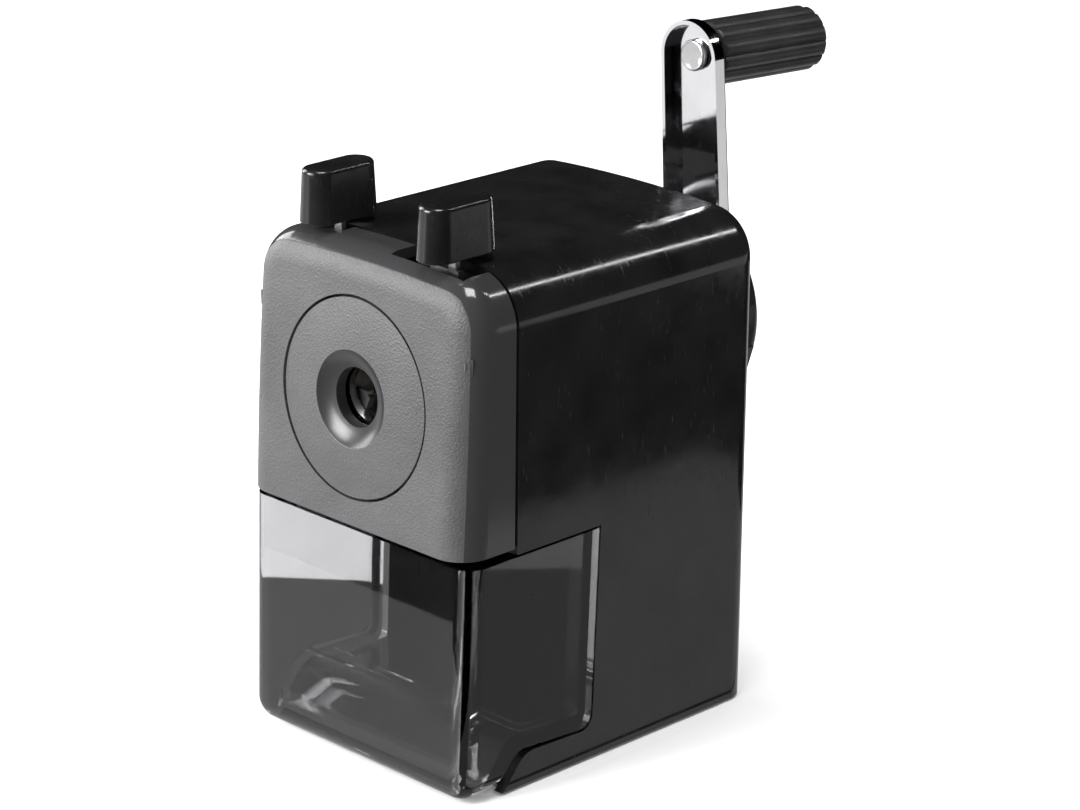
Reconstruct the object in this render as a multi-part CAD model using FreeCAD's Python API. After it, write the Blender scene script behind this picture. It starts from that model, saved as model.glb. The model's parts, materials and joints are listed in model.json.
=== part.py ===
import FreeCAD, Part
import math
import os

V = FreeCAD.Vector

# A desk pencil sharpener. Millimetres, Z up, front (pencil side) towards -Y.
# The model is laid out from the drawer's front edge (y = 0) and the desk (z = 0), and is moved at the end
# so that the origin is the middle of its footprint.

# ---- body shell ----
half_width = 32.5
side_draft = 0.005          # the sides lean out by this much per millimetre of height
wall = 2.3
seam_y = 14.2               # the back edge of the moving front
seam_gap = 0.6
back_y = 84.7
foot_front_y = 10.5         # the foot of the body reaches further forward than the body
body_bottom_z = 0.65
top_front_z = 109.9         # the roof falls slightly towards the back
top_back_z = 109.4
crown_radius = 385.0
roof_corner = 10.5
back_edge_radius = 5.0

# ---- drawer ----
drawer_top_z = 51.1
drawer_bottom_z = 0.5
drawer_floor_z = 8.0
drawer_side_back_y = 38.1
drawer_side_foot_y = 36.5
drawer_wall = 1.9
drawer_border = 3.4         # solid edge round the back and foot of the side panels
drawer_corner = 4.2
drawer_lean = 0.03          # the drawer front leans back by this much per millimetre of height
tray_half = 29.2
tray_back_y = 72.0
drawer_gap = 0.5

# ---- moving front (carriage) ----
front_bottom_z = 53.0
face_bottom_y = -0.6
face_mid_y = 0.9
face_top_y = 2.9
face_top_z = 104.0
face_wall = 2.4
face_rounding = 7.0
rim_inset = 0.15            # the moving front is a little narrower than the body
feed_travel = 32.0

# ---- pencil axis and chuck ----
axis_z = 79.6
face_lean = math.degrees(math.atan2(face_top_y - face_bottom_y, face_top_z - front_bottom_z))
disc_hole_r = 21.1
disc_r = 20.5
recess_r = 10.0
pencil_hole_r = 6.15
guide_r = 5.9
chuck_bore_r = 6.4
chuck_plate_r = 21.5
ring_r = 17.0
hub_r = 7.6
run = 0.06                  # radial clearance of running fits
front_plate_y = (6.1, 6.9)
cage_y = (7.2, 9.2)
jaw_y = (7.4, 9.0)
ring_y = (9.5, 10.7)
base_y = (11.1, 12.3)
back_plate_y = (12.3, 13.9)
jaw_width = 4.4
jaw_tip_r = 2.9
jaw_back_r = 12.4
jaw_pin_r = 1.1
jaw_pin_at = 10.2
jaw_travel = 3.0
squeeze_angle = 16.0
lever_angle = 29.8
lever_x = 17.7
stem_root_width = 5.0
stem_width = 2.0
left_stem_x = -15.3
right_stem_x = 19.6
shoulder_z = 109.0
right_shoulder_x = (13.4, 21.4)
slot_left_x = 4.4
slot_right_x = 25.0
knob_bottom_z = 111.1
knob_height = 11.2
knob_half_length = 9.1      # at the bottom; the knob narrows towards its top
knob_half_width = 4.1
knob_taper_length = 0.65
knob_taper_width = 0.35
left_knob_y = 13.4
right_knob_y = 12.3

# ---- guide rods ----
rod_x = 26.0
rod_z = 70.0
rod_r = 1.5
rod_end_y = 76.0
bush_end_y = 26.3
clip_y = 74.0

# ---- cutter ----
frame_y = (15.2, 17.4)
cone_angle = 10.5
tip_y = 48.0
cutter_r = 5.5
cutter_y = (30.4, 50.4)
pinion_teeth = 12
ring_teeth = 22
gear_mid_y = 54.5
gear_width = 5.0
nose_r = 8.0
carrier_r = 14.2
axle_r = 1.5
shaft_r = 3.0

# ---- crank ----
cap_r = 23.4
cap_y = (84.9, 98.6)
crank_turn = 3.3            # the crank stands this far from upright, its handle towards -X
arm_y = (100.3, 103.9)
arm_sheet = 0.9
arm_pin_z = 131.8
arm_top_r = 7.85
arm_hub_r = 8.5
rivet_head_r = 3.4
knob_droop = 3.2
crank_knob_y = (105.0, 137.7)
crank_knob_r = 7.1
rib_r = 1.9
ribs = 12

slope = math.radians(cone_angle)
apex_y = tip_y + cutter_r / math.cos(slope) / math.tan(slope)
pinion_cone = math.atan2(math.sin(slope), ring_teeth / pinion_teeth - math.cos(slope))
ring_cone = pinion_cone + slope


def box(x0, x1, y0, y1, z0, z1):
    return Part.makeBox(x1 - x0, y1 - y0, z1 - z0, V(x0, y0, z0))


def rod(radius, y0, y1, x=0.0, z=0.0):
    return Part.makeCylinder(radius, y1 - y0, V(x, y0, z), V(0, 1, 0))


def post(radius, z0, z1, x, y):
    return Part.makeCylinder(radius, z1 - z0, V(x, y, z0), V(0, 0, 1))


def tube(outer, inner, y0, y1, x=0.0, z=0.0):
    return rod(outer, y0, y1, x, z).cut(rod(inner, y0 - 1, y1 + 1, x, z))


def polar(radius, angle, y=0.0):
    """A point round the pencil axis; the angle runs from straight up towards +X."""
    a = math.radians(angle)
    return V(radius * math.sin(a), y, axis_z + radius * math.cos(a))


def arc(a, b, c):
    return Part.Arc(a, b, c).toShape()


def line(a, b):
    return Part.makeLine(a, b)


def polygon(points):
    return Part.Face(Part.makePolygon(points + [points[0]]))


def joined(shapes):
    result = shapes[0].multiFuse(shapes[1:])
    return result.removeSplitter()


def body_half(z):
    return half_width + side_draft * z


def outline(y, inset, bottom_z, top_z, narrower=0.0):
    """The arched front outline of the body at one depth, inset by a wall."""
    corner = roof_corner - inset
    crown = crown_radius - inset
    roof = top_z - inset
    shoulder = body_half(top_z - roof_corner) - inset - narrower
    crown_z = roof - crown
    reach = shoulder - corner
    corner_z = crown_z + math.sqrt((crown - corner) ** 2 - reach ** 2)
    tilt = math.atan2(corner_z - crown_z, reach)
    touch = V(crown * math.cos(tilt), y, crown_z + crown * math.sin(tilt))
    middle = V(reach + corner * math.cos(tilt / 2), y, corner_z + corner * math.sin(tilt / 2))
    side = V(shoulder, y, corner_z)
    foot = V(body_half(bottom_z) - inset - narrower, y, bottom_z)

    def mirror(p):
        return V(-p.x, p.y, p.z)

    edges = [line(mirror(foot), foot), line(foot, side), arc(side, middle, touch),
             arc(touch, V(0, y, roof), mirror(touch)), arc(mirror(touch), mirror(middle), mirror(side)),
             line(mirror(side), mirror(foot))]
    return Part.Wire(edges)


def loft(wires):
    return Part.makeLoft(wires, True, True)


def side_slab(path):
    """A closed side view pushed out past both sides of the body.

    Each step of the path is a corner (y, z), or the middle and the end of a curve (y, z, y, z).
    """
    reach = half_width + 6
    edges = []
    last = path[0]
    for step in path[1:] + [path[0]]:
        start = V(-reach, last[0], last[1])
        end = V(-reach, step[-2], step[-1])
        if len(step) == 4:
            edges.append(arc(start, V(-reach, step[0], step[1]), end))
        else:
            edges.append(line(start, end))
        last = step[-2:]
    return Part.Face(Part.Wire(edges)).extrude(V(2 * reach, 0, 0))


def drawer_side():
    """The side view of the drawer's visible part, with the stepped toe that clears the body's foot."""
    return side_slab([(-6, drawer_top_z), (drawer_side_back_y, drawer_top_z), (drawer_side_foot_y, 10.9),
                      (35.6, 8.7, 33.2, 7.7), (17.6, 8.8), (15.1, 8.2, 13.3, 6.7), (10.6, 3.3),
                      (9.3, 1.6, 7.4, drawer_bottom_z), (-6, drawer_bottom_z)])


def drawer_hollow():
    """The side view of the room behind the drawer's front, leaving a solid border along the back and foot."""
    top = drawer_top_z + 5
    back = drawer_side_foot_y - drawer_border
    floor = drawer_bottom_z + drawer_wall
    return side_slab([(-6, top), (drawer_side_back_y - drawer_border, top), (back, 14.0),
                      (32.3, 12.0, 30.2, 11.3), (16.6, 12.2), (13.2, 11.3, 10.9, 9.0), (8.4, 5.6),
                      (6.9, 3.6, 4.6, floor), (-6, floor)])


def drawer_opening():
    """The side view of the opening the drawer sits in; the gap widens towards the toe."""
    top = drawer_top_z + drawer_gap
    return side_slab([(-6, top), (drawer_side_back_y + drawer_gap, top), (drawer_side_foot_y + drawer_gap, 10.7),
                      (35.8, 8.0, 33.0, 7.2), (20.0, 7.7), (17.3, 7.0, 15.6, 5.6), (12.6, 2.0),
                      (11.6, 1.1, 10.2, 0.2), (-6, 0.2)])


def housing():
    outer = loft([outline(foot_front_y, 0, body_bottom_z, top_front_z),
                  outline(back_y, 0, body_bottom_z, top_back_z)])
    back_edges = [e for e in outer.Edges if all(abs(v.Point.y - back_y) < 0.01 for v in e.Vertexes)
                  and e.CenterOfMass.z > body_bottom_z + 1]
    outer = outer.makeFillet(back_edge_radius, back_edges)
    inner = loft([outline(foot_front_y - 1, wall, body_bottom_z - 1, top_front_z),
                  outline(back_y - wall, wall, body_bottom_z - 1, top_back_z)])
    shell = outer.cut(inner)
    shell = shell.cut(box(-50, 50, 0, seam_y + seam_gap, drawer_floor_z, 130))
    shell = shell.cut(drawer_opening())
    shell = shell.cut(rod(15.4, back_y - 10, back_y + 5, 0, axis_z))
    for side in (-1, 1):
        x0, x1 = sorted((side * 14.0, side * 17.6))
        shell = shell.cut(box(x0, x1, back_y - 5, back_y + 1, axis_z - 3.2, axis_z + 3.2))
    bosses = []
    for side in (-1, 1):
        for y in (20.0, 78.5):
            x0, x1 = sorted((side * 27.0, side * 31.0))
            boss = post(3.0, 3.2, 7.0, side * 27.0, y).fuse(box(x0, x1, y - 3.0, y + 3.0, 3.2, 7.0))
            bosses.append(boss.cut(post(1.3, 3.0, 7.2, side * 27.0, y)))
        for z in (59.5, 97.0):
            x0, x1 = sorted((side * 27.5, side * 31.5))
            boss = rod(2.8, frame_y[1], 26.0, side * 27.0, z).fuse(box(x0, x1, frame_y[1], 26.0, z - 2.8, z + 2.8))
            bosses.append(boss.cut(rod(1.2, frame_y[1] - 1, 26.5, side * 27.0, z)))
    return joined([shell] + bosses)


def base_plate():
    half = body_half(0) - wall - 0.15
    plate = box(-half, half, 12.0, back_y - wall - 0.15, 0.9, 3.2)
    rails = [box(s - 1.2, s + 1.2, 17.0, 74.0, 3.2, 7.2) for s in (-18.0, 18.0)]
    plate = joined([plate] + rails)
    for side in (-1, 1):
        for y in (20.0, 78.5):
            plate = plate.cut(post(1.3, 0, 4, side * 27.0, y))
            plate = plate.cut(post(2.6, 0, 2.2, side * 27.0, y))
        for y in (28.0, 70.0):
            plate = plate.cut(post(5.0, 0, 1.8, side * 23.0, y))
    return plate


def base_screws():
    screws = []
    for side in (-1, 1):
        for y in (20.0, 78.5):
            head = post(2.4, 0.95, 2.2, side * 27.0, y)
            slot = box(side * 27.0 - 1.6, side * 27.0 + 1.6, y - 0.3, y + 0.3, 0, 1.5)
            screws.append(head.fuse(post(1.3, 2.2, 6.8, side * 27.0, y)).cut(slot))
    return Part.makeCompound(screws)


def rubber_feet():
    feet = []
    for side in (-1, 1):
        for y in (28.0, 70.0):
            feet.append(Part.makeCone(4.6, 5.0, 1.8, V(side * 23.0, y, 0)))
    return Part.makeCompound(feet)


def mechanism_frame():
    clearance = wall + 0.15
    plate = loft([outline(frame_y[0], clearance, 51.8, top_front_z), outline(frame_y[1], clearance, 51.8, top_front_z)])
    half = body_half(50) - clearance - 0.1
    shelf = box(-half, half, frame_y[1] - 1, back_y - wall - 0.3, 51.8, 53.6)
    shelf = shelf.cut(box(-18, 18, 29.0, 76.0, 51, 54))
    boss = rod(12.6, frame_y[0], 26.0, 0, axis_z)
    webs = [box(-1.2, 1.2, frame_y[1] - 1, 26.0, 52.5, axis_z - 11)]
    sockets = [rod(4.1, frame_y[0], 25.6, s * rod_x, rod_z) for s in (-1, 1)]
    frame = joined([plate, shelf, boss] + webs + sockets)
    frame = frame.cut(rod(9.6, 10, 30, 0, axis_z))
    for side in (-1, 1):
        frame = frame.cut(rod(3.0, 10, 30, side * rod_x, rod_z))
        for z in (59.5, 97.0):
            frame = frame.cut(rod(1.2, 10, 20, side * 27.0, z))
    return frame


def frame_screws():
    screws = []
    for side in (-1, 1):
        for z in (59.5, 97.0):
            head = rod(2.3, 14.3, frame_y[0], side * 27.0, z)
            slot = box(side * 27.0 - 1.6, side * 27.0 + 1.6, 14, 14.8, z - 0.3, z + 0.3)
            screws.append(head.fuse(rod(1.2, frame_y[0], 25.0, side * 27.0, z)).cut(slot))
    return Part.makeCompound(screws)


def rod_bushes():
    return Part.makeCompound([tube(3.0, rod_r + 0.05, frame_y[0], bush_end_y, s * rod_x, rod_z) for s in (-1, 1)])


def nose_bush():
    return tube(9.6, nose_r + run, frame_y[0], 26.0, 0, axis_z)


def front_outline(y, inset):
    return outline(y, inset + rim_inset, front_bottom_z + inset, top_front_z)


def face_profile(set_back, reach):
    """The leaning, slightly curved side view of the moving front, as a slab across the width."""
    bottom = V(-reach, face_bottom_y + set_back, front_bottom_z - 5)
    middle = V(-reach, face_mid_y + set_back, axis_z)
    top = V(-reach, face_top_y + set_back + 1.2, face_top_z + 12)
    edges = [arc(bottom, middle, top), line(top, V(-reach, 40, top.z)),
             line(V(-reach, 40, top.z), V(-reach, 40, bottom.z)), line(V(-reach, 40, bottom.z), bottom)]
    return Part.Face(Part.Wire(edges)).extrude(V(2 * reach, 0, 0))


def leaned(shape):
    """Turns a shape made about a vertical face so that it lies on the leaning face."""
    shape.rotate(V(0, face_mid_y, axis_z), V(1, 0, 0), -face_lean)
    return shape


def carriage_shell():
    outer = loft([front_outline(-8, 0), front_outline(seam_y, 0)]).common(face_profile(0, 50))
    front_edges = [e for e in outer.Edges if max(v.Point.y for v in e.Vertexes) < 8
                   and e.BoundBox.YMax < 8 and e.CenterOfMass.z > front_bottom_z + 1]
    outer = outer.makeFillet(face_rounding, front_edges)
    inner = loft([front_outline(-8, wall), front_outline(seam_y + 1, wall)]).common(face_profile(face_wall, 50))
    shell = outer.cut(inner)
    shell = shell.cut(leaned(rod(disc_hole_r, -10, 8, 0, axis_z)))
    shell = shell.cut(box(slot_left_x, slot_right_x, 7.4, 20, 100, 120))
    shell = shell.cut(box(left_stem_x - 1.6, left_stem_x + 1.6, 10.9, 20, 104, 120))
    bosses = []
    for side in (-1, 1):
        for z in (58.0, 93.0):
            x0, x1 = sorted((side * 28.0, side * 31.2))
            boss = rod(2.5, 3.0, back_plate_y[0], side * 27.6, z)
            boss = boss.fuse(box(x0, x1, 4.0, back_plate_y[0], z - 1.5, z + 1.5))
            bosses.append(boss.cut(rod(1.0, 6.0, 13, side * 27.6, z)))
    bosses = [b.common(face_profile(1.2, 50)) for b in bosses]
    return joined([shell] + bosses)


def face_disc():
    """A crowned disc with a hollowed middle round the pencil hole, held by a flange behind the face."""
    y0 = face_mid_y
    edge = V(disc_r, y0 + 0.2, 0)
    rim = V(recess_r, y0 - 0.85, 0)
    points = [V(pencil_hole_r - 1, y0 + 3.5, 0), V(disc_hole_r + 1.2, y0 + 3.5, 0), V(disc_hole_r + 1.2, y0 + 2.9, 0),
              V(disc_r, y0 + 2.9, 0), edge]
    edges = [line(points[i], points[i + 1]) for i in range(4)]
    edges.append(arc(edge, V(16.0, y0 - 0.45, 0), rim))
    edges.append(arc(rim, V(8.2, y0 + 0.35, 0), V(pencil_hole_r - 1, y0 + 1.1, 0)))
    edges.append(line(V(pencil_hole_r - 1, y0 + 1.1, 0), points[0]))
    disc = Part.Face(Part.Wire(edges)).revolve(V(0, 0, 0), V(0, 1, 0), 360)
    disc.translate(V(0, 0, axis_z))
    return leaned(disc).cut(rod(pencil_hole_r, -5, 10, 0, axis_z))


def carriage_plate():
    plate = loft([front_outline(back_plate_y[0], wall + 0.1), front_outline(back_plate_y[1], wall + 0.1)])
    plate = plate.cut(rod(chuck_bore_r + 0.4, 0, 20, 0, axis_z))
    plate = plate.cut(box(slot_left_x - 1.0, slot_right_x + 1.0, 0, 20, 102.0, 120))
    plate = plate.cut(box(left_stem_x - 3.5, left_stem_x + 3.5, 0, 20, 103.0, 120))
    for side in (-1, 1):
        plate = plate.cut(rod(rod_r, 0, 20, side * rod_x, rod_z))
        for z in (58.0, 93.0):
            plate = plate.cut(rod(1.0, 0, 20, side * 27.6, z))
    return plate


def carriage_screws():
    screws = []
    for side in (-1, 1):
        for z in (58.0, 93.0):
            screw = rod(1.0, 7.0, back_plate_y[1], side * 27.6, z).fuse(rod(2.0, back_plate_y[1], 14.1, side * 27.6, z))
            screws.append(screw)
    return Part.makeCompound(screws)


def round_plate(radius, bore, span):
    return tube(radius, bore, span[0], span[1], 0, axis_z)


def pillar_points():
    return [polar(19.4, a) for a in (75, 180, 285)]


def lever_stem(side, upright_x, shoulder, span):
    """A flat strip that leaves the ring along a radius and narrows to a neck that stands in its knob."""
    half = stem_root_width / 2
    low = polar(13.0, side * lever_angle)
    lean = V(half * math.cos(math.radians(lever_angle)), 0, -side * half * math.sin(math.radians(lever_angle)))
    left = low - lean
    right = low + lean
    neck = stem_width / 2
    points = [left, V(shoulder[0], 0, shoulder_z - 2.6), V(shoulder[0], 0, shoulder_z),
              V(upright_x - neck, 0, shoulder_z), V(upright_x - neck, 0, knob_bottom_z + 8),
              V(upright_x + neck, 0, knob_bottom_z + 8), V(upright_x + neck, 0, shoulder_z),
              V(shoulder[1], 0, shoulder_z), V(shoulder[1], 0, shoulder_z - 2.6), right]
    face = polygon([V(p.x, span[0], p.z) for p in points])
    return face.extrude(V(0, span[1] - span[0], 0))


def drill_pillars(plate):
    for p in pillar_points():
        plate = plate.cut(rod(1.2, 0, 20, p.x, p.z))
    return plate


def chuck_front_plate():
    return drill_pillars(round_plate(chuck_plate_r, guide_r + 0.75, front_plate_y))


def pencil_guide():
    flange = tube(guide_r + 1.9, guide_r, front_plate_y[0] - 0.8, front_plate_y[0], 0, axis_z)
    return flange.fuse(tube(guide_r + 0.75, guide_r, front_plate_y[0], front_plate_y[1] + 0.2, 0, axis_z)).removeSplitter()


def jaw_cage():
    cage = drill_pillars(round_plate(chuck_plate_r - 1.0, chuck_bore_r, cage_y))
    for angle in (0, 120, 240):
        slot = box(-jaw_width / 2 - run, jaw_width / 2 + run, 0, 20, axis_z, axis_z + jaw_back_r + jaw_travel + 0.4)
        slot.rotate(V(0, 0, axis_z), V(0, 1, 0), angle)
        cage = cage.cut(slot)
    return cage


def chuck_pillars():
    pillars = []
    for p in pillar_points():
        pillar = rod(1.2, front_plate_y[0] - 0.5, base_y[1], p.x, p.z)
        for low, high in ((front_plate_y[1], cage_y[0]), (cage_y[1], base_y[0])):
            pillar = pillar.fuse(rod(1.9, low, high, p.x, p.z))
        pillars.append(pillar.fuse(rod(2.0, front_plate_y[0] - 0.5, front_plate_y[0], p.x, p.z)).removeSplitter())
    return Part.makeCompound(pillars)


def chuck_base():
    plate = round_plate(chuck_plate_r, chuck_bore_r, base_y)
    hub = tube(hub_r, chuck_bore_r, cage_y[1] + 0.1, base_y[0], 0, axis_z)
    stem = lever_stem(-1, left_stem_x, (left_stem_x - 1.5, left_stem_x + 1.4), base_y)
    stem = stem.cut(rod(chuck_bore_r, 0, 20, 0, axis_z))
    return drill_pillars(joined([plate, hub, stem]))


def cam_slot(angle):
    """A slot that carries a jaw pin outwards while the ring turns."""
    def centre(share):
        return polar(jaw_pin_at + jaw_travel * share, angle + squeeze_angle * share)

    path = [centre(s) for s in (-0.04, 0.5, 1.04)]
    half = jaw_pin_r + 0.12

    def beside(i, way):
        along = (path[2] - path[0]).normalize()
        across = V(along.z, 0, -along.x)
        return path[i] + across * half * way

    start, end = path[0], path[2]
    along = (end - start).normalize()
    edges = [arc(beside(0, 1), beside(1, 1), beside(2, 1)), arc(beside(2, 1), end + along * half, beside(2, -1)),
             arc(beside(2, -1), beside(1, -1), beside(0, -1)), arc(beside(0, -1), start - along * half, beside(0, 1))]
    return Part.Face(Part.Wire(edges)).extrude(V(0, 20, 0))


def chuck_ring():
    ring = round_plate(ring_r, hub_r + run, ring_y)
    stem = lever_stem(1, right_stem_x, right_shoulder_x, ring_y).cut(rod(ring_r - 1, 0, 20, 0, axis_z))
    ring = ring.fuse(stem).removeSplitter()
    for angle in (0, 120, 240):
        ring = ring.cut(cam_slot(angle))
    eye = rod(0.6, 0, 20, right_stem_x + 0.6, 105.0)
    return ring.cut(eye)


def jaw(angle):
    """A sliding jaw: a blunt notched tip, a flat shank and the pin that the ring drives."""
    half = jaw_width / 2
    tip = axis_z + jaw_tip_r
    back = axis_z + jaw_back_r
    points = [V(-0.7, jaw_y[0], tip), V(-half, jaw_y[0], tip + 2.2), V(-half, jaw_y[0], back), V(half, jaw_y[0], back),
              V(half, jaw_y[0], tip + 2.2), V(0.7, jaw_y[0], tip), V(0, jaw_y[0], tip + 0.4)]
    plate = polygon(points).extrude(V(0, jaw_y[1] - jaw_y[0], 0))
    pin = rod(jaw_pin_r, jaw_y[1], ring_y[1] - 0.1, 0, axis_z + jaw_pin_at)
    shape = plate.fuse(pin).removeSplitter()
    shape.rotate(V(0, 0, axis_z), V(0, 1, 0), angle)
    return shape


def stadium(x, y, z, half_length, half_wide):
    """A wire with two straight sides along Y and round ends."""
    straight = half_length - half_wide
    corners = [V(x + half_wide, y - straight, z), V(x + half_wide, y + straight, z),
               V(x - half_wide, y + straight, z), V(x - half_wide, y - straight, z)]
    return Part.Wire([line(corners[0], corners[1]), arc(corners[1], V(x, y + half_length, z), corners[2]),
                      line(corners[2], corners[3]), arc(corners[3], V(x, y - half_length, z), corners[0])])


def lever_knob(side):
    """A stadium-shaped finger knob, narrower at the top, with rounded top edges and a slot for its stem."""
    x = side * lever_x
    y = right_knob_y if side > 0 else left_knob_y
    span = ring_y if side > 0 else base_y
    stem_x = right_stem_x if side > 0 else left_stem_x
    top = knob_bottom_z + knob_height
    knob = loft([stadium(x, y, knob_bottom_z, knob_half_length, knob_half_width),
                 stadium(x, y, top, knob_half_length - knob_taper_length, knob_half_width - knob_taper_width)])
    top_edges = [e for e in knob.Edges if min(v.Point.z for v in e.Vertexes) > top - 0.01]
    knob = knob.makeFillet(0.9, top_edges)
    bottom_edges = [e for e in knob.Edges if max(v.Point.z for v in e.Vertexes) < knob_bottom_z + 0.01]
    knob = knob.makeFillet(0.3, bottom_edges)
    half = stem_width / 2
    return knob.cut(box(stem_x - half, stem_x + half, span[0], span[1], knob_bottom_z - 1, knob_bottom_z + 8))


def coil(radius, wire, start, direction, length, turns):
    """A helical spring made by drawing a round wire along a helix."""
    helix = Part.makeHelix(length / turns, length, radius)
    section = Part.Wire(Part.makeCircle(wire / 2, V(radius, 0, 0), V(0, 1, 0)))
    spring = Part.Wire(helix).makePipeShell([section], True, True)
    turn = FreeCAD.Rotation(V(0, 0, 1), direction)
    spring.Placement = FreeCAD.Placement(start, turn)
    return spring


def feed_springs():
    springs = []
    for side in (-1, 1):
        start = V(side * rod_x, bush_end_y + 0.4, rod_z)
        springs.append(coil(2.3, 0.55, start, V(0, 1, 0), clip_y - bush_end_y - 0.8, 11))
    return Part.makeCompound(springs)


def guide_rods():
    rods = []
    for side in (-1, 1):
        shank = rod(rod_r, back_plate_y[0], rod_end_y, side * rod_x, rod_z)
        groove = tube(rod_r + 1, rod_r - 0.35, clip_y, clip_y + 0.8, side * rod_x, rod_z)
        head = rod(2.6, back_plate_y[0] - 1.0, back_plate_y[0], side * rod_x, rod_z)
        rods.append(shank.fuse(head).removeSplitter().cut(groove))
    return Part.makeCompound(rods)


def rod_clips():
    clips = []
    for side in (-1, 1):
        clip = tube(3.1, rod_r - 0.35, clip_y, clip_y + 0.8, side * rod_x, rod_z)
        mouth = box(side * rod_x - 0.9, side * rod_x + 0.9, clip_y - 1, clip_y + 2, rod_z, rod_z + 5)
        clips.append(clip.cut(mouth))
    return Part.makeCompound(clips)


def chuck_spring():
    start = V(lever_x + 3.4, 10.1, 103.6)
    end = V(27.0, 10.1, 98.0)
    way = end - start
    return coil(1.3, 0.45, start, way, way.Length, 7)


def spring_post():
    return rod(0.9, 8.8, back_plate_y[0], 27.6, 97.2)


def drawer():
    lean = drawer_lean * drawer_top_z

    def shell(inset, top_z):
        low = V(0, inset, drawer_bottom_z)
        high = V(0, inset + lean, drawer_top_z)
        front = Part.Face(Part.makePolygon([V(-50, low.y, low.z), V(-50, high.y, top_z), V(-50, 60, top_z),
                                            V(-50, 60, low.z), V(-50, low.y, low.z)])).extrude(V(100, 0, 0))
        foot = body_half(0) - inset
        head = body_half(drawer_top_z) - inset
        r = 5.0 - inset
        z0 = drawer_bottom_z + inset
        edges = [line(V(-foot + r, -2, z0), V(foot - r, -2, z0)),
                 arc(V(foot - r, -2, z0), V(foot - 0.293 * r, -2, z0 + 0.293 * r), V(foot, -2, z0 + r)),
                 line(V(foot, -2, z0 + r), V(head, -2, top_z)), line(V(head, -2, top_z), V(-head, -2, top_z)),
                 line(V(-head, -2, top_z), V(-foot, -2, z0 + r)),
                 arc(V(-foot, -2, z0 + r), V(-foot + 0.293 * r, -2, z0 + 0.293 * r), V(-foot + r, -2, z0))]
        solid = Part.Face(Part.Wire(edges)).extrude(V(0, 60, 0))
        return solid.common(front)

    outer = shell(0, drawer_top_z).common(drawer_side())
    upright = [e for e in outer.Edges if e.BoundBox.YMax < 3 and e.BoundBox.ZLength > 30]
    outer = outer.makeFillet(drawer_corner, upright)
    room = drawer_hollow().fuse(box(-60, 60, 2, drawer_side_foot_y - drawer_border, 20, drawer_top_z + 5))
    inner = shell(drawer_wall, drawer_top_z + 5).common(room)
    tray = box(-tray_half, tray_half, 30, tray_back_y, drawer_floor_z, drawer_top_z - 0.8)
    tray_inner = box(-tray_half + drawer_wall, tray_half - drawer_wall, 20, tray_back_y - drawer_wall,
                     drawer_floor_z + drawer_wall, drawer_top_z + 5)
    return outer.fuse(tray).removeSplitter().cut(inner).cut(tray_inner)


def rear_cap():
    """The screw-in cap: a domed cup with grip lugs, a hub for the crank and a spigot for the ring gear."""
    y0, y1 = cap_y
    points = [V(15.1, 57.4, 0), V(15.1, y0, 0), V(cap_r, y0, 0), V(cap_r, y0 + 8.0, 0)]
    edges = [line(points[i], points[i + 1]) for i in range(3)]
    edges.append(arc(points[3], V(cap_r - 1.6, y1 - 1.8, 0), V(cap_r - 5.0, y1 - 0.4, 0)))
    rest = [V(cap_r - 5.0, y1 - 0.4, 0), V(5.0, y1, 0), V(5.0, 80.0, 0), V(7.2, 80.0, 0), V(7.2, y1 - 2.6, 0),
            V(13.6, y1 - 2.6, 0), V(13.6, 57.4, 0), V(15.1, 57.4, 0)]
    edges += [line(rest[i], rest[i + 1]) for i in range(len(rest) - 1)]
    cap = Part.Face(Part.Wire(edges)).revolve(V(0, 0, 0), V(0, 1, 0), 360)
    lugs = []
    for i in range(10):
        lug = box(-3.0, 3.0, y0, y0 + 8.6, cap_r - 2.0, cap_r + 0.9)
        lug.rotate(V(0, 0, 0), V(0, 1, 0), i * 36)
        lugs.append(lug)
    keys = [box(13.8, 17.2, y0 - wall - 2.4, y0 - wall - 0.6, -2.8, 2.8)]
    keys.append(box(-17.2, -13.8, y0 - wall - 2.4, y0 - wall - 0.6, -2.8, 2.8))
    cap = joined([cap] + lugs + keys)
    cap.translate(V(0, 0, axis_z))
    return cap


def gear_wire(teeth, pitch_r, depth_in, depth_out, tip_share, root_share, y):
    """A closed outline of straight-flanked teeth round the Y axis, a tooth at the top."""
    step = 360.0 / teeth
    points = []
    for i in range(teeth):
        middle = i * step
        for radius, share in ((pitch_r - depth_in, -root_share), (pitch_r + depth_out, -tip_share),
                              (pitch_r + depth_out, tip_share), (pitch_r - depth_in, root_share)):
            a = math.radians(middle + share * step)
            points.append(V(radius * math.sin(a), y, radius * math.cos(a)))
    return Part.makePolygon(points + [points[0]])


def ring_gear():
    """The fixed internal bevel gear that makes the cutter turn as it is carried round."""
    module = 2 * (apex_y - gear_mid_y) * math.tan(ring_cone) / ring_teeth
    wires = []
    for y in (gear_mid_y - gear_width / 2 - 1, gear_mid_y + gear_width / 2 + 1):
        distance = apex_y - y
        scale = distance / (apex_y - gear_mid_y)
        wires.append(gear_wire(ring_teeth, distance * math.tan(ring_cone), 0.8 * module * scale,
                               1.15 * module * scale, 0.19, 0.37, y))
    y0 = gear_mid_y - gear_width / 2
    y1 = gear_mid_y + gear_width / 2 + 0.4
    gear = rod(15.1, y0, y1, 0, 0).cut(Part.makeLoft(wires, True, True))
    gear.translate(V(0, 0, axis_z))
    return gear


def on_cutter_axis(shape):
    """Moves a shape made about the Y axis, with y measured from the cone point, onto the cutter's axis."""
    shape.rotate(V(0, 0, 0), V(1, 0, 0), -cone_angle)
    shape.translate(V(0, apex_y, axis_z))
    return shape


def along_cutter(y):
    """Distance from the cone point, measured along the cutter's axis, of the plane at y."""
    return (apex_y - y) / math.cos(slope)


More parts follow.
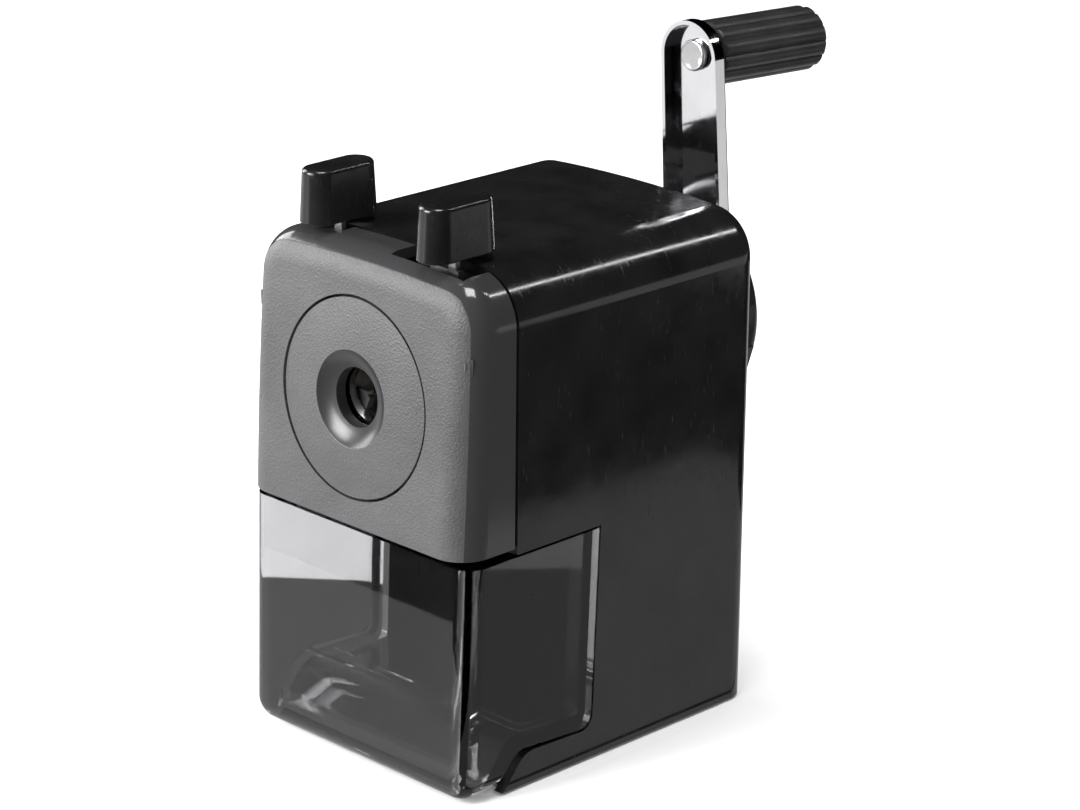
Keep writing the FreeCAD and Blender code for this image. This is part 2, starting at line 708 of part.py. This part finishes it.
def cutter_pinion():
    middle = along_cutter(gear_mid_y)
    module = 2 * middle * math.tan(pinion_cone) / pinion_teeth
    wires = []
    for distance in (middle + gear_width / 2 - 0.3, middle - gear_width / 2 + 0.3):
        scale = distance / middle
        wires.append(gear_wire(pinion_teeth, distance * math.tan(pinion_cone), 1.05 * module * scale,
                               0.75 * module * scale, 0.10, 0.30, -distance))
    gear = Part.makeLoft(wires, True, True)
    return on_cutter_axis(gear.cut(rod(axle_r + run, -60, 0)))


def helical_cutter():
    """A steel roller with slanted cutting ribs."""
    start = -along_cutter(cutter_y[0])
    end = -along_cutter(cutter_y[1])
    steps = 5
    wires = []
    for i in range(steps):
        y = start + (end - start) * i / (steps - 1)
        wire = gear_wire(8, cutter_r, 1.2, 0.0, 0.06, 0.30, y)
        wire.rotate(V(0, 0, 0), V(0, 1, 0), 12.0 * i)
        wires.append(wire)
    blank = Part.makeLoft(wires, True, False)
    neck = rod(3.6, end, -along_cutter(gear_mid_y) - gear_width / 2 + 0.3)
    return on_cutter_axis(blank.fuse(neck).cut(rod(axle_r + run, -60, 0)))


def cutter_axle():
    start = -along_cutter(27.4)
    end = -along_cutter(63.0)
    return on_cutter_axis(rod(axle_r, start, end))


def cutter_carrier():
    """The turning cage: a nose with the pencil hole, two cheeks that hold the cutter's axle, and a bridge."""
    nose = rod(nose_r, 16.0, 27.0, 0, axis_z)
    front = rod(carrier_r, 26.8, 29.8, 0, axis_z)
    rear = rod(7.6, 59.2, 64.0, 0, axis_z)
    hub = rod(5.4, 64.0, 72.0, 0, axis_z)
    long_bridge = box(-7.5, 7.5, 29.0, 50.8, axis_z - 12.0, axis_z - 5.0)
    thin_bridge = box(-4.0, 4.0, 50.0, 60.0, axis_z - 6.4, axis_z - 2.8)
    carrier = joined([nose, front, rear, hub, long_bridge, thin_bridge])
    carrier = carrier.cut(Part.makeCone(5.6, 4.7, 4.0, V(0, 16.0, axis_z), V(0, 1, 0)))
    carrier = carrier.cut(rod(4.7, 19.0, 33.0, 0, axis_z))
    carrier = carrier.cut(Part.makeCone(5.0, 0.9, tip_y + 3 - 29.8, V(0, 29.8, axis_z), V(0, 1, 0)))
    carrier = carrier.cut(on_cutter_axis(rod(axle_r, -along_cutter(27.4), -along_cutter(63.0))))
    sweep = on_cutter_axis(rod(cutter_r + 0.5, -along_cutter(29.9), -along_cutter(51.0)))
    carrier = carrier.cut(sweep)
    return carrier.cut(rod(shaft_r, 64.4, 80.0, 0, axis_z))


def turned(shape):
    """Turns an upright part of the crank to the angle the crank stands at."""
    shape.rotate(V(0, 0, axis_z), V(0, 1, 0), -crank_turn)
    return shape


def crank_shaft():
    shaft = rod(shaft_r, 64.4, arm_y[1] + 2.7, 0, axis_z)
    flats = [box(-5, 5, arm_y[1] - arm_sheet, 115, axis_z + 2.4, axis_z + 4),
             box(-5, 5, arm_y[1] - arm_sheet, 115, axis_z - 4, axis_z - 2.4)]
    return turned(shaft.cut(flats[0]).cut(flats[1]))


def rear_bush():
    return tube(5.0, shaft_r + run, 80.0, cap_y[1] - 0.1, 0, axis_z)


def crank_spacer():
    return tube(5.6, shaft_r, cap_y[1] + 0.15, arm_y[1] - arm_sheet, 0, axis_z)


def arm_outline(inset, y):
    """Two round ends joined by straight sides; the hub end is the wider one."""
    top_r = arm_top_r - inset
    hub = arm_hub_r - inset
    turn = math.asin((hub - top_r) / (arm_pin_z - axis_z))
    across = math.cos(turn)
    up = math.sin(turn)
    right_low = V(hub * across, y, axis_z + hub * up)
    right_high = V(top_r * across, y, arm_pin_z + top_r * up)
    left_low = V(-right_low.x, y, right_low.z)
    left_high = V(-right_high.x, y, right_high.z)
    edges = [line(right_low, right_high), arc(right_high, V(0, y, arm_pin_z + top_r), left_high),
             line(left_high, left_low), arc(left_low, V(0, y, axis_z - hub), right_low)]
    return Part.Face(Part.Wire(edges))


def on_knob_axis(shape):
    """Droops a shape made about the Y axis to the handle's slightly sagging axis."""
    shape.rotate(V(0, 0, 0), V(1, 0, 0), -knob_droop)
    shape.translate(V(0, arm_y[1] - arm_sheet / 2, arm_pin_z))
    return shape


def crank_arm():
    depth = arm_y[1] - arm_y[0]
    outer = arm_outline(0, arm_y[0]).extrude(V(0, depth, 0))
    back_edges = [e for e in outer.Edges if e.BoundBox.YMin > arm_y[1] - 0.01]
    outer = outer.makeFillet(1.0, back_edges)
    hollow = arm_outline(arm_sheet, arm_y[0] - 1).extrude(V(0, depth - arm_sheet + 1, 0))
    arm = outer.cut(hollow)
    hole = rod(shaft_r, 90, 110, 0, axis_z)
    hole = hole.common(box(-5, 5, 90, 110, axis_z - 2.4, axis_z + 2.4))
    return turned(arm.cut(hole).cut(on_knob_axis(rod(2.0, -5, 5))))


def hub_nut():
    nut = rod(5.4, arm_y[1], arm_y[1] + 1.5, 0, axis_z)
    dome = Part.makeCone(4.8, 3.4, 2.4, V(0, arm_y[1] + 1.5, axis_z), V(0, 1, 0))
    return nut.fuse(dome).removeSplitter().cut(crank_shaft())


def knob_rivet():
    back = arm_sheet / 2
    head = rod(rivet_head_r, -back - 1.5, -back - 0.25)
    edge = [e for e in head.Edges if e.BoundBox.YMax < -back - 1.4]
    head = head.makeFillet(0.5, edge)
    shank = rod(2.0, -back - 0.3, 31.0)
    collar = rod(3.2, back + 0.3, back + 1.0)
    return turned(on_knob_axis(joined([head, shank, collar])))


def crank_knob():
    """The ribbed handle, turning freely on its rivet."""
    origin = arm_y[1] - arm_sheet / 2
    low = crank_knob_y[0] - origin
    high = crank_knob_y[1] - origin
    rib_at = crank_knob_r - rib_r
    core = rod(rib_at + 1.0, low, high)
    for i in range(ribs):
        a = 2 * math.pi * (i + 0.5) / ribs
        core = core.fuse(rod(rib_r, low, high, rib_at * math.sin(a), rib_at * math.cos(a)))
    round_over = Part.makeCylinder(crank_knob_r + 0.02, high - low, V(0, low, 0), V(0, 1, 0))
    ends = [e for e in round_over.Edges if e.BoundBox.YLength < 0.5]
    round_over = round_over.makeFillet(1.1, ends)
    knob = core.common(round_over).cut(rod(2.0 + run, low - 1, 31.6))
    return turned(on_knob_axis(knob))


def build():
    nodes = {
        "housing": housing(),
        "base_plate": base_plate(),
        "base_screws": base_screws(),
        "rubber_feet": rubber_feet(),
        "mechanism_frame": mechanism_frame(),
        "frame_screws": frame_screws(),
        "rod_bushes": rod_bushes(),
        "nose_bush": nose_bush(),
        "rear_cap": rear_cap(),
        "rear_bush": rear_bush(),
        "ring_gear": ring_gear(),
        "carriage_shell": carriage_shell(),
        "face_disc": face_disc(),
        "carriage_plate": carriage_plate(),
        "carriage_screws": carriage_screws(),
        "chuck_front_plate": chuck_front_plate(),
        "pencil_guide": pencil_guide(),
        "jaw_cage": jaw_cage(),
        "chuck_pillars": chuck_pillars(),
        "chuck_base": chuck_base(),
        "left_lever_knob": lever_knob(-1),
        "spring_post": spring_post(),
        "chuck_spring": chuck_spring(),
        "guide_rods": guide_rods(),
        "rod_clips": rod_clips(),
        "feed_springs": feed_springs(),
        "chuck_ring": chuck_ring(),
        "right_lever_knob": lever_knob(1),
        "jaw_1": jaw(0),
        "jaw_2": jaw(120),
        "jaw_3": jaw(240),
        "drawer": drawer(),
        "crank_shaft": crank_shaft(),
        "crank_spacer": crank_spacer(),
        "crank_arm": crank_arm(),
        "hub_nut": hub_nut(),
        "knob_rivet": knob_rivet(),
        "cutter_carrier": cutter_carrier(),
        "cutter_axle": cutter_axle(),
        "crank_knob": crank_knob(),
        "helical_cutter": helical_cutter(),
        "cutter_pinion": cutter_pinion(),
    }
    span = Part.makeCompound(list(nodes.values())).optimalBoundingBox(False, False)
    middle = V(0, -(span.YMin + span.YMax) / 2, 0)
    os.makedirs("parts", exist_ok=True)
    for name, shape in nodes.items():
        shape.translate(middle)
        shape.exportStep("parts/" + name + ".step")
    print("moved back by", round(middle.y, 4))


build()
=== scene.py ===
import bpy
import bmesh
import json
import math
from mathutils import Vector, Matrix, Quaternion


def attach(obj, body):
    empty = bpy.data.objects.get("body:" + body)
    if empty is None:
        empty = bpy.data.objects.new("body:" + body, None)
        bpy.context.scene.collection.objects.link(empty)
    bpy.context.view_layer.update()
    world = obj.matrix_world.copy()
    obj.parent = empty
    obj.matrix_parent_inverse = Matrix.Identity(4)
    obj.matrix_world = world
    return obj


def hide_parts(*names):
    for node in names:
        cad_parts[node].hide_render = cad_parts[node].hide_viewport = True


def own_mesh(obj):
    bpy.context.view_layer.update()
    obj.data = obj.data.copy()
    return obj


# Desk pencil sharpener: black body, grained sliding front, two levers, smoky drawer, chromed crank
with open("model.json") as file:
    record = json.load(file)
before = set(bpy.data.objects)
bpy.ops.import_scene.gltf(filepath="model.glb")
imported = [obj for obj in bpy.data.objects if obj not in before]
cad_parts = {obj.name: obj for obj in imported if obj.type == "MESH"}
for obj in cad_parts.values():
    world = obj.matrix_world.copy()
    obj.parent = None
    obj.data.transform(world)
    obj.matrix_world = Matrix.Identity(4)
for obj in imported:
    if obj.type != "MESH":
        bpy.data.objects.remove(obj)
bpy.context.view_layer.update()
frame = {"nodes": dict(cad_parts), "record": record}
nodes = frame["nodes"]
scene = bpy.context.scene
print("frame loaded")

# the camera looks from the front right and a little above
cameraSpot = {
    "place": (0.5211, -0.53564, 0.3259),
    "looking": (-0.6670, 0.6663, -0.3335),
    "roll": 0.4,        # degrees
    "lens": 124.05,     # mm
    "sensor": 36,       # mm
    "reach": 20,        # metres, the farthest thing it draws
}


def addCamera():
    data = bpy.data.cameras.new("camera")
    data.lens = cameraSpot["lens"]
    data.sensor_width = cameraSpot["sensor"]
    data.clip_end = cameraSpot["reach"]
    camera = bpy.data.objects.new("camera", data)
    scene.collection.objects.link(camera)
    turn = Vector(cameraSpot["looking"]).to_track_quat("-Z", "Y")
    turn = turn @ Quaternion((0, 0, 1), math.radians(cameraSpot["roll"]))
    camera.matrix_world = Matrix.Translation(cameraSpot["place"]) @ turn.to_matrix().to_4x4()
    scene.camera = camera


addCamera()
print("camera placed")

# soft boxes, a pale floor, white sheets that only reflections see,
# and a dim card of painted shade that only shows through the clear drawer
studio = {
    "worldColor": (1.0, 1.0, 1.0),
    "worldStrength": 0.55,
    "floorColor": (0.93, 0.93, 0.93),
    "floorHalf": 4,             # metres
    "floorRough": 0.9,
    "aim": (0, 0, 0.06),        # the point every lamp faces
    "sheetHeight": 0.0002,
    "sheets": {
        # name: lowest and highest corner in metres, glow
        "tableSheet": ((-0.9, -0.142), (0.035, 0.35), 0.6),
        "frontSheet": ((-0.70, -0.70), (-0.195, -0.168), 0.8),
        "backSheet": ((0.20, 0.235), (0.80, 0.90), 0.7),
        "sideSheet": ((0.036, -0.10), (0.14, 0.12), 0.5),
    },
    # painted shade: a dim card on the floor, seen only through the drawer
    "paintedShadeCard": {"middle": (0.0316, -0.1214), "height": 0.0003, "half": 0.16, "turn": 40.0, "glow": 0.075},
    "lamps": {
        # name: place, width and height of the box, watts
        "frontBox": ((-0.40, -0.95, 0.50), (0.60, 0.60), 22.0),
        "leftBox": ((-0.95, -0.15, 0.40), (0.50, 0.70), 8.0),
        "overheadBox": ((0.12, -0.10, 1.00), (0.35, 0.35), 6.0),
        "edgeStrip": ((0.36, 0.62, 0.74), (0.03, 0.50), 1.2),
    },
}


def addCard(name, low, high, height):
    mesh = bmesh.new()
    bmesh.ops.create_grid(mesh, x_segments=1, y_segments=1, size=0.5)
    across = Vector((high[0] - low[0], high[1] - low[1], 1))
    middle = Vector(((high[0] + low[0]) / 2, (high[1] + low[1]) / 2, height))
    bmesh.ops.scale(mesh, vec=across, verts=mesh.verts)
    bmesh.ops.translate(mesh, vec=middle, verts=mesh.verts)
    data = bpy.data.meshes.new(name)
    mesh.to_mesh(data)
    mesh.free()
    card = bpy.data.objects.new(name, data)
    scene.collection.objects.link(card)
    return card


def makeGlow(card, strength):
    card.visible_camera = False
    card.visible_diffuse = False
    card.visible_shadow = False
    glow = bpy.data.materials.new(card.name + "Glow")
    glow.use_nodes = True
    shader = glow.node_tree.nodes["Principled BSDF"]
    shader.inputs["Base Color"].default_value = (0, 0, 0, 1)
    shader.inputs["Emission Color"].default_value = (1, 1, 1, 1)
    shader.inputs["Emission Strength"].default_value = strength
    card.data.materials.append(glow)


def addStudio():
    world = bpy.data.worlds.new("studio")
    scene.world = world
    world.use_nodes = True
    sky = world.node_tree.nodes["Background"]
    sky.inputs["Color"].default_value = (*studio["worldColor"], 1)
    sky.inputs["Strength"].default_value = studio["worldStrength"]
    world.cycles_visibility.glossy = False      # polished faces mirror only the lamps and the sheets
    for name, (place, size, watts) in studio["lamps"].items():
        lamp = bpy.data.lights.new(name, "AREA")
        lamp.shape = "RECTANGLE"
        lamp.size, lamp.size_y = size
        lamp.energy = watts
        box = bpy.data.objects.new(name, lamp)
        aim = (Vector(studio["aim"]) - Vector(place)).to_track_quat("-Z", "Y")
        box.matrix_world = Matrix.Translation(place) @ aim.to_matrix().to_4x4()
        scene.collection.objects.link(box)
    reach = studio["floorHalf"]
    floor = addCard("floor", (-reach, -reach), (reach, reach), 0)
    floor.visible_glossy = False
    paper = bpy.data.materials.new("paleFloor")
    paper.use_nodes = True
    shader = paper.node_tree.nodes["Principled BSDF"]
    shader.inputs["Base Color"].default_value = (*studio["floorColor"], 1)
    shader.inputs["Roughness"].default_value = studio["floorRough"]
    floor.data.materials.append(paper)
    for name, (low, high, strength) in studio["sheets"].items():
        sheet = addCard(name, low, high, studio["sheetHeight"])
        sheet.visible_transmission = False
        makeGlow(sheet, strength)
    # painted shade: a dim glowing card, seen only through the clear drawer, darkens it
    shade = studio["paintedShadeCard"]
    x, y = shade["middle"]
    half = shade["half"]
    shadeCard = addCard("paintedShadeCard", (x - half, y - half), (x + half, y + half), shade["height"])
    middle = Matrix.Translation((x, y, 0))
    turn = Matrix.Rotation(math.radians(shade["turn"]), 4, "Z")
    shadeCard.data.transform(middle @ turn @ middle.inverted())
    shadeCard.visible_glossy = False
    makeGlow(shadeCard, shade["glow"])


addStudio()
scene.view_settings.view_transform = "Standard"
print("studio lit")

# One entry per finish. color and tint are the two shades that a slow mottle moves between,
# rough is the range the roughness wanders over, grain is its size and depth in metres,
# and scuff is how much the fine rubbed marks dull the surface.
finishes = {
    "gloss_black": {
        "color": (0.0065, 0.0065, 0.0068), "tint": (0.0105, 0.0105, 0.0108),
        "rough": (0.07, 0.16), "grain": (0.0009, 0.0000010), "scuff": 0.22},
    "black_satin": {
        "color": (0.008, 0.008, 0.0085), "tint": (0.014, 0.014, 0.0145),
        "rough": (0.25, 0.38), "grain": (0.0005, 0.000004), "scuff": 0.2},
    "black_inner": {
        "color": (0.007, 0.007, 0.0075), "tint": (0.012, 0.012, 0.0125),
        "rough": (0.42, 0.58), "grain": (0.0006, 0.000006), "scuff": 0.1},
    "knob_black": {
        "color": (0.006, 0.006, 0.0063), "tint": (0.011, 0.011, 0.0115),
        "rough": (0.15, 0.24), "grain": (0.0007, 0.000002), "scuff": 0.2},
    "handle_black": {
        "color": (0.015, 0.015, 0.0155), "tint": (0.024, 0.024, 0.0245),
        "rough": (0.34, 0.48), "grain": (0.00035, 0.000008), "scuff": 0.25},
    "rubber": {
        "color": (0.012, 0.012, 0.012), "tint": (0.022, 0.022, 0.022),
        "rough": (0.75, 0.9), "grain": (0.0004, 0.00001), "scuff": 0.1},
    "steel": {
        "color": (0.50, 0.50, 0.51), "tint": (0.62, 0.62, 0.62),
        "rough": (0.24, 0.38), "grain": (0.0004, 0.000004), "scuff": 0.2, "metal": 1.0},
    "bright_steel": {
        "color": (0.66, 0.66, 0.67), "tint": (0.76, 0.76, 0.76),
        "rough": (0.12, 0.26), "grain": (0.0005, 0.000005), "scuff": 0.3, "metal": 1.0},
    "spring_steel": {
        "color": (0.36, 0.36, 0.37), "tint": (0.48, 0.48, 0.48),
        "rough": (0.25, 0.4), "grain": (0.0003, 0.000003), "scuff": 0.1, "metal": 1.0},
    "tool_steel": {
        "color": (0.24, 0.24, 0.26), "tint": (0.36, 0.36, 0.38),
        "rough": (0.25, 0.42), "grain": (0.0003, 0.000003), "scuff": 0.2, "metal": 1.0},
    "chrome": {
        "color": (0.74, 0.74, 0.76), "tint": (0.80, 0.80, 0.82),
        "rough": (0.04, 0.12), "grain": (0.0016, 0.000004), "scuff": 0.18, "metal": 1.0},
    "brass": {
        "color": (0.42, 0.29, 0.15), "tint": (0.55, 0.40, 0.22),
        "rough": (0.35, 0.5), "grain": (0.0003, 0.000006), "scuff": 0.1, "metal": 1.0},
    "gear_plastic": {
        "color": (0.50, 0.48, 0.42), "tint": (0.58, 0.56, 0.50),
        "rough": (0.4, 0.5), "grain": (0.0006, 0.000004), "scuff": 0.1},
    "die_cast": {
        "color": (0.36, 0.36, 0.37), "tint": (0.48, 0.48, 0.49),
        "rough": (0.38, 0.55), "grain": (0.0006, 0.000015), "scuff": 0.1, "metal": 1.0},
}

# the wear that every finish shares, sizes in metres
wear = {
    "mottleSize": 0.012,
    "wanderSize": 0.005,
    "markSize": 0.004,
    "markTurn": (0.3, 0.5, 0.9),
    "markStretch": (1, 9, 1),
    "markFrom": 0.60, "markTo": 0.72,      # only the peaks of the noise leave a mark
}


# puts one finish together, node by node
class Bench:
    def __init__(self, name):
        self.material = bpy.data.materials.new(name)
        self.material.use_nodes = True
        self.tree = self.material.node_tree
        self.shader = self.tree.nodes["Principled BSDF"]
        self.place = self.add("ShaderNodeTexCoord").outputs["Object"]

    def feed(self, socket, value):
        if isinstance(value, bpy.types.NodeSocket):
            self.tree.links.new(value, socket)
        else:
            socket.default_value = value

    def add(self, kind, settings=None, **sockets):
        node = self.tree.nodes.new(kind)
        for key, value in (settings or {}).items():
            setattr(node, key, value)
        for key, value in sockets.items():
            self.feed(node.inputs[key], value)
        return node

    def join(self, socket, name):
        self.tree.links.new(socket, self.shader.inputs[name])

    def noise(self, size, detail=3.0, roughness=0.55, place=None):
        node = self.add("ShaderNodeTexNoise", Vector=place or self.place, Scale=1 / size, Detail=detail)
        node.inputs["Roughness"].default_value = roughness
        return node.outputs["Fac"]

    def spread(self, value, fromLow, fromHigh, toLow, toHigh):
        node = self.add("ShaderNodeMapRange", Value=value)
        ends = {"From Min": fromLow, "From Max": fromHigh, "To Min": toLow, "To Max": toHigh}
        for name, number in ends.items():
            node.inputs[name].default_value = number
        return node.outputs["Result"]

    def math(self, operation, a, b=0.0):
        node = self.add("ShaderNodeMath", {"operation": operation})
        self.feed(node.inputs[0], a)
        self.feed(node.inputs[1], b)
        return node.outputs[0]

    def blendColors(self, share, low, high):
        node = self.add("ShaderNodeMix", {"data_type": "RGBA"})
        self.feed(node.inputs[0], share)
        for socket, color in ((node.inputs[6], low), (node.inputs[7], high)):
            self.feed(socket, (*color, 1) if isinstance(color, tuple) else color)
        return node.outputs[2]

    def blendValues(self, share, low, high):
        node = self.add("ShaderNodeMix")
        self.feed(node.inputs[0], share)
        self.feed(node.inputs[2], low)
        self.feed(node.inputs[3], high)
        return node.outputs[0]

    def bump(self, height, distance):
        node = self.add("ShaderNodeBump", Height=height, Distance=distance, Strength=1.0)
        return node.outputs["Normal"]

    def rubbedMarks(self):
        stretched = self.add("ShaderNodeMapping", Vector=self.place,
                             Rotation=wear["markTurn"], Scale=wear["markStretch"])
        fine = self.noise(wear["markSize"], 4.0, 0.6, stretched.outputs["Vector"])
        return self.spread(fine, wear["markFrom"], wear["markTo"], 0, 1)


def mouldedOrPlated(slot, look):
    bench = Bench(slot)
    mottle = bench.spread(bench.noise(wear["mottleSize"], 4.0), 0.35, 0.65, 0, 1)
    bench.join(bench.blendColors(mottle, look["color"], look["tint"]), "Base Color")
    wander = bench.spread(bench.noise(wear["wanderSize"], 5.0, 0.65), 0.3, 0.7, *look["rough"])
    rubbed = bench.math("MULTIPLY", bench.rubbedMarks(), look["scuff"])
    bench.join(bench.math("ADD", wander, rubbed), "Roughness")
    size, depth = look["grain"]
    bench.join(bench.bump(bench.noise(size, 2.0), depth), "Normal")
    bench.shader.inputs["Metallic"].default_value = look.get("metal", 0.0)
    return bench.material


# the sliding front: pebbled face, polished rim, smooth hollow round the pencil hole
frontLook = {
    # the face's lighter shade serves the random mottle and the painted highlight on the pebble tops
    "face": (0.050, 0.050, 0.052), "faceMottleAndHighlight": (0.074, 0.074, 0.076),
    "rim": (0.030, 0.030, 0.031),
    "hollow": (0.024, 0.024, 0.025),
    "faceRough": (0.42, 0.55), "hollowRough": 0.30, "rimRough": 0.12,
    "mottleSize": 0.02,
    "pebble": 0.00042, "pebbleDepth": 0.00010,     # metres
    "finePebble": 0.55, "fineDepth": 0.8,          # shares of the pebble
    "rimStart": -0.0655,        # metres, where the pebbled face stops
    "rimLean": 0.05,            # the face leans back by this much per metre of height
    "rimBlur": 0.0002,
    "discReach": (0.0222, 0.0224),      # the disc stays pebbled out to here
    "hollowReach": (0.0099, 0.0101),
    "axisHeight": 0.0796,
}


def grainedFront(look):
    bench = Bench("grainedBlack")
    x, y, z = bench.add("ShaderNodeSeparateXYZ", Vector=bench.place).outputs
    rise = bench.math("SUBTRACT", z, look["axisHeight"])
    squares = bench.math("ADD", bench.math("MULTIPLY", x, x), bench.math("MULTIPLY", rise, rise))
    fromAxis = bench.math("SQRT", squares)
    leaningY = bench.math("SUBTRACT", y, bench.math("MULTIPLY", rise, look["rimLean"]))
    onRim = bench.spread(leaningY, look["rimStart"], look["rimStart"] + look["rimBlur"], 0, 1)
    rim = bench.math("MULTIPLY", onRim, bench.spread(fromAxis, *look["discReach"], 0, 1))
    hollow = bench.spread(fromAxis, *look["hollowReach"], 1, 0)
    smooth = bench.math("MAXIMUM", rim, hollow)
    pebbled = bench.math("SUBTRACT", 1.0, smooth)

    cells = bench.add("ShaderNodeTexVoronoi", {"feature": "SMOOTH_F1"}, Vector=bench.place,
                      Scale=1 / look["pebble"]).outputs["Distance"]
    fine = bench.noise(look["pebble"] * look["finePebble"], 3.0)
    height = bench.math("ADD", cells, bench.math("MULTIPLY", fine, look["fineDepth"]))
    bench.join(bench.bump(bench.math("MULTIPLY", height, pebbled), look["pebbleDepth"]), "Normal")

    mottle = bench.spread(bench.noise(look["mottleSize"], 4.0), 0.35, 0.65, 0, 0.6)
    # painted highlight: the pebble tops, where the fine noise raises the bump, are painted lighter
    paintedPebbleHighlight = bench.math("MULTIPLY", bench.spread(fine, 0.45, 0.7, 0, 1), 0.4)
    face = bench.blendColors(bench.math("ADD", mottle, paintedPebbleHighlight), look["face"], look["faceMottleAndHighlight"])
    withHollow = bench.blendColors(hollow, face, look["hollow"])
    bench.join(bench.blendColors(rim, withHollow, look["rim"]), "Base Color")

    worn = bench.spread(bench.noise(wear["wanderSize"], 5.0, 0.65), 0.3, 0.7, *look["faceRough"])
    satin = bench.spread(rim, 0, 1, look["hollowRough"], look["rimRough"])
    bench.join(bench.blendValues(smooth, worn, satin), "Roughness")
    return bench.material


# the drawer: smoke-tinted clear moulding
drawerLook = {
    "tint": (0.66, 0.66, 0.67), "tintThick": (0.58, 0.58, 0.59),
    "rough": (0.015, 0.05),
    "scuff": 0.05,
    "flowSize": 0.03, "wanderSize": 0.004,
    "rippleSize": 0.012, "ripple": 0.000006,
    "bending": 1.45,
}


def smokyClear(look):
    bench = Bench("smokeClear")
    flow = bench.spread(bench.noise(look["flowSize"], 3.0), 0.3, 0.7, 0, 1)
    bench.join(bench.blendColors(flow, look["tint"], look["tintThick"]), "Base Color")
    wander = bench.spread(bench.noise(look["wanderSize"], 5.0, 0.7), 0.35, 0.75, *look["rough"])
    rubbed = bench.math("MULTIPLY", bench.rubbedMarks(), look["scuff"])
    bench.join(bench.math("ADD", wander, rubbed), "Roughness")
    bench.join(bench.bump(bench.noise(look["rippleSize"], 2.0), look["ripple"]), "Normal")
    bench.shader.inputs["Transmission Weight"].default_value = 1.0
    bench.shader.inputs["IOR"].default_value = look["bending"]
    return bench.material


def dressNodes():
    made = {slot: mouldedOrPlated(slot, look) for slot, look in finishes.items()}
    made["grained_black"] = grainedFront(frontLook)
    made["smoke_clear"] = smokyClear(drawerLook)
    for part in frame["record"]["subparts"]:
        data = nodes[part["node"]].data
        data.materials.clear()
        data.materials.append(made[part["material_slot"]])
    return made


made = dressNodes()
print("finishes on")

# the two coil springs round the guide rods, wound once at one length; the real ones are squeezed as the
# front is pulled out
feedSpring = {
    "across": 0.026, "height": 0.070,      # metres, the rod each spring sits on
    "start": -0.04194, "length": 0.0469,
    "radius": 0.0023, "wire": 0.000275,
    "turns": 11, "stepsPerTurn": 24, "sides": 10,
    "keep": 0.32,                           # share of the length left with the front fully out
}


def addFeedSprings(look):
    mesh = bmesh.new()
    steps = look["turns"] * look["stepsPerTurn"]
    for side in (-1, 1):
        ring = bmesh.ops.create_circle(mesh, segments=look["sides"], radius=look["wire"])["verts"]
        middle = Vector((side * look["across"], look["start"], look["height"]))
        bmesh.ops.translate(mesh, vec=middle + Vector((look["radius"], 0, 0)), verts=ring)
        loop = [edge for edge in mesh.edges if edge.verts[0] in ring and edge.verts[1] in ring]
        bmesh.ops.spin(mesh, geom=ring + loop, cent=middle, axis=(0, 1, 0),
                       dvec=(0, look["length"] / steps, 0), angle=2 * math.pi * look["turns"],
                       steps=steps, use_merge=False)
    bmesh.ops.holes_fill(mesh, edges=[edge for edge in mesh.edges if edge.is_boundary], sides=0)
    bmesh.ops.recalc_face_normals(mesh, faces=mesh.faces)
    for face in mesh.faces:
        face.smooth = len(face.verts) == 4
    data = bpy.data.meshes.new("feedSpringCoils")
    mesh.to_mesh(data)
    mesh.free()
    coils = bpy.data.objects.new("feedSpringCoils", data)
    scene.collection.objects.link(coils)
    data.materials.append(made["spring_steel"])
    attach(coils, "base")
    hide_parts("feed_springs")
    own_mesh(coils)


addFeedSprings(feedSpring)
print("feed springs wound")
